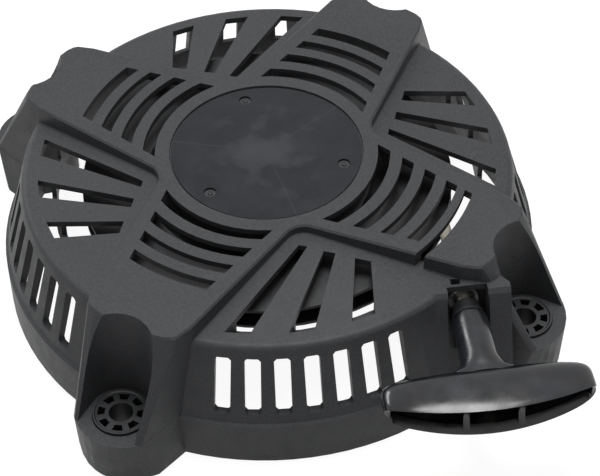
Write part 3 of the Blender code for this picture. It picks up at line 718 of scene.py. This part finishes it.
def braided(path, across_way, up_way, length, columns=40):
    """Rings about a path. At distance s and angle a, the radius is R (1 - RELIEF + RELIEF sqrt(w)),
    where w is the larger of |cos((n a + k s) / 2)| and |cos((n a - k s) / 2)|. Here n is the number of
    strands wound each way and k is 2 pi n over their lay."""
    a = np.linspace(0, 2 * np.pi, columns, endpoint=False)[None, :]
    s = length[:, None]
    pitch = 2 * np.pi * STRANDS / LAY
    over = np.abs(np.cos((STRANDS * a + pitch * s) / 2))
    under = np.abs(np.cos((STRANDS * a - pitch * s) / 2))
    radius = ROPE_R * MM * (1 - RELIEF + RELIEF * np.sqrt(np.maximum(over, under)))
    a = a[..., None]
    ring = np.cos(a) * across_way[:, None] + np.sin(a) * up_way[:, None]
    return path[:, None] + radius[..., None] * ring


def same_way(way, count):
    """One direction repeated for each ring."""
    return np.tile(way, (count, 1))


print("strands in the braid:", 2 * STRANDS)

# %% [markdown]
# ## The straight rope
# Its straight stretch runs from the reel out to the knot. A sliding copy would leave a gap when
# the grip is pulled, so it is put on no body, and its place is baked into its points.

# %% Straight rope
KNOT_ALONG = float(np.dot(middle_of("rope_knot") - ROPE_FOOT, PULL)) / MM
lead_along = np.linspace(0.8, KNOT_ALONG - 4.0, LEAD_RINGS)
lead_path = on_pull(0 * lead_along, lead_along, 0 * lead_along)
lead_ways = (same_way(ACROSS, LEAD_RINGS), same_way(UP, LEAD_RINGS))
lead_grid = braided(lead_path, *lead_ways, lead_along)
lead = surface("rope_lead_braid", lead_grid, None, ROPE, caps=True)
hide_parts("rope_lead")
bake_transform(lead)
print("straight rope in mm:", round(float(lead_along[-1] - lead_along[0]), 1))

# %% [markdown]
# ## Rope on the reel
# The wound rope lies in one flat layer in the reel's groove, each turn inside the last. A stack
# of rings would leave its ends cut off, so it is the same braid carried along a spiral that
# starts where the straight stretch leaves the reel.

# %% Wound rope
WIND_TURNS = 1.9
WIND_PITCH = 6.5
WIND_R = float(np.dot(ROPE_FOOT - AXIS, ACROSS)) / MM
WOUND_RINGS = 720


def wound_path(count):
    """A flat spiral from the outlet side: radius WIND_R - pitch * turn, and its outward and upward ways."""
    turn = np.linspace(0, WIND_TURNS, count)
    a = 2 * np.pi * turn
    out = np.cos(a)[:, None] * ACROSS - np.sin(a)[:, None] * PULL
    r = WIND_R - WIND_PITCH * turn
    centre = np.array([AXIS[0], AXIS[1], ROPE_FOOT[2]])
    return centre + out * r[:, None] * MM, out, 2 * np.pi * r * turn


path, out, length = wound_path(WOUND_RINGS)
wound_grid = braided(path, out, same_way(UP, WOUND_RINGS), length, COARSE)
wound = surface("rope_wound_braid", wound_grid, "reel", ROPE, caps=True)
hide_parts("rope_wound")
print("wound rope in mm:", round(float(length[-1])))

# %% [markdown]
# ## The knot
# A stopper knot is pulled tight in the grip's hollow and holds the grip on. A real one would have
# to be drawn point by point. A torus knot is close to one and has a short formula, so the braid
# is carried along it.


# %% Knot
KNOT_THIN = 0.62  # how far the rope is squeezed in the knot
KNOT_R = 2.35
KNOT_SWELL = 0.85
KNOT_RISE = 1.7


def knot_path(count=240):
    """A trefoil: twice about the pull while its distance and its place along swing three times."""
    a = np.linspace(0.15, 2 * np.pi - 0.15, count)
    wide = KNOT_R + KNOT_SWELL * np.cos(3 * a)
    along = KNOT_ALONG + KNOT_RISE * np.sin(3 * a)
    return on_pull(wide * np.cos(2 * a), along, wide * np.sin(2 * a))


def frames_along(path):
    """Two ways square to a path at each point: its direction crossed with a fixed way, then again."""
    direction = np.gradient(path, axis=0)
    direction /= np.linalg.norm(direction, axis=1)[:, None]
    first = np.cross(direction, PULL + 0.3 * UP)
    first /= np.linalg.norm(first, axis=1)[:, None]
    return first, np.cross(direction, first)


path = knot_path()
first, second = frames_along(path)
steps = np.linalg.norm(np.diff(path, axis=0), axis=1) / MM
knot_grid = braided(path, first, second, np.concatenate([[0], np.cumsum(steps)]), COARSE)
knot_grid = path[:, None] + (knot_grid - path[:, None]) * KNOT_THIN
knot = surface("rope_knot_tied", knot_grid, "grip", ROPE, caps=True)
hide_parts("rope_knot")
print("rope in the knot, in mm:", round(float(steps.sum()), 1))

# %% [markdown]
# ## Studio
# A product like this is shot on a white table under large soft boxes. The floor is a pale sheet
# that looks white to the camera, and still takes the object's shadow. A bright lamp on the floor
# would spill onto the object, so the white is a glow that only seen rays meet.

# %% What the eye sees
SEEN = ("Is Camera Ray", "Is Glossy Ray", "Is Transmission Ray")
FLOOR_GLOW = 0.93
FLOOR_DROP = 0.4 * MM  # keeps the feet clear of the sheet
AIR_LIGHT = 0.24


def seen_only(nodes, links):
    """1 for a ray that carries what the eye sees, straight or by reflection, and 0 for a light ray."""
    path_node = nodes.new("ShaderNodeLightPath")
    total = path_node.outputs[SEEN[0]]
    for name in SEEN[1:]:
        add = nodes.new("ShaderNodeMath")
        add.operation = "MAXIMUM"
        links.new(total, add.inputs[0])
        links.new(path_node.outputs[name], add.inputs[1])
        total = add.outputs[0]
    return total


print("kinds of ray that see the white:", len(SEEN))


# %% Floor
def floor_finish():
    """A dim diffuse sheet plus a glow that only seen rays meet: white, but the shadow stays."""
    sheet = Sheet("floor_paper")
    sheet.finish((0.2, 0.2, 0.2, 1), 0.9)
    sheet.shader.inputs["Specular IOR Level"].default_value = 0.0
    sheet.shader.inputs["Emission Color"].default_value = (1, 1, 1, 1)
    glow = sheet.math("MULTIPLY", seen_only(sheet.nodes, sheet.links), FLOOR_GLOW)
    sheet.links.new(glow, sheet.shader.inputs["Emission Strength"])
    return sheet.material


bpy.ops.mesh.primitive_plane_add(size=12, location=(0, 0, -FLOOR_DROP))
floor = bpy.context.object
floor.name = "floor"
floor.data.materials.append(floor_finish())
print("floor side in m:", round(floor.dimensions.x, 1))

# %% World
world = bpy.data.worlds.new("studio_air")
bpy.context.scene.world = world
world.use_nodes = True
air = world.node_tree
background = air.nodes["Background"]
background.inputs["Color"].default_value = (1, 1, 1, 1)
strength = air.nodes.new("ShaderNodeMapRange")
air.links.new(seen_only(air.nodes, air.links), strength.inputs[0])
strength.inputs["To Min"].default_value = AIR_LIGHT
strength.inputs["To Max"].default_value = 1.0
air.links.new(strength.outputs[0], background.inputs["Strength"])
print("light from the air:", AIR_LIGHT)

# %% [markdown]
# ## Lamps
# Each lamp has its own work. The overhead one lights the top and lays a soft band along the grip's
# crown. The long one behind and to the left makes the streak down the stem, and stands where the
# flat boss can't mirror it. A weak one opens the shadows at the left.


# %% Lamps
def soft_box(name, place, wide, tall, watts):
    """A rectangular area lamp that faces the object's middle, with its sides in metres."""
    data = bpy.data.lights.new(name, "AREA")
    data.shape = "RECTANGLE"
    data.size = wide
    data.size_y = tall
    data.energy = watts
    lamp = bpy.data.objects.new(name, data)
    bpy.context.scene.collection.objects.link(lamp)
    lamp.location = place
    aim = Vector((0, 0, 0.04)) - Vector(place)
    lamp.rotation_euler = aim.to_track_quat("-Z", "Y").to_euler()
    print(name, "stands", round(aim.length, 2), "m away")


soft_box("overhead_box", (0.12, 0.1, 1.3), 0.55, 0.5, 11)
soft_box("rear_box", (-0.72, 1.15, 0.8), 0.62, 0.28, 4.6)
soft_box("side_box", (-1.1, -0.5, 0.8), 0.6, 0.6, 0.4)

# %% [markdown]
# ## Camera
# The camera looks down at 43 degrees from the front and a little to one side, through a long
# lens. It could be aimed with a constraint, but it also pans, tilts and rolls a little. So it is
# built from its own three directions: first aimed at the reel's axis, then turned by the three
# small angles, and last carried round the object.

# %% Camera directions
DISTANCE = 0.9177
ELEVATION = 43.379  # degrees, as are the next four
AZIMUTH = -14.542
PAN = -0.89
TILT = -2.585
ROLL = 1.96


def turned(vector, about, degrees):
    """The vector turned about an axis through the origin."""
    return Matrix.Rotation(math.radians(degrees), 3, about) @ vector


rise = math.radians(ELEVATION)
place = Vector((0, -math.cos(rise), math.sin(rise))) * DISTANCE
ahead = -place.normalized()
right = Vector((1, 0, 0))
top = right.cross(ahead)
ahead, right = turned(ahead, top, PAN), turned(right, top, PAN)
ahead, top = turned(ahead, right, TILT), turned(top, right, TILT)
right, top = turned(right, ahead, ROLL), turned(top, ahead, ROLL)
ways = (place, right, top, ahead)
place, right, top, ahead = (turned(way, Vector((0, 0, 1)), AZIMUTH) for way in ways)
print("camera looks along", [round(value, 3) for value in ahead])

# %% Camera in place
LENS_MM = 118.128
SENSOR_MM = 36
pose = Matrix((right, top, -ahead)).transposed().to_4x4()
pose.translation = place + Vector((AXIS[0], AXIS[1], high[2]))
camera_data = bpy.data.cameras.new("studio_camera")
camera_data.lens = LENS_MM
camera_data.sensor_width = SENSOR_MM
camera_data.clip_start = 0.01
camera = bpy.data.objects.new("studio_camera", camera_data)
bpy.context.scene.collection.objects.link(camera)
camera.matrix_world = pose
bpy.context.scene.camera = camera
bpy.context.scene.view_settings.view_transform = "Standard"
print("camera at", [round(value, 3) for value in pose.translation])
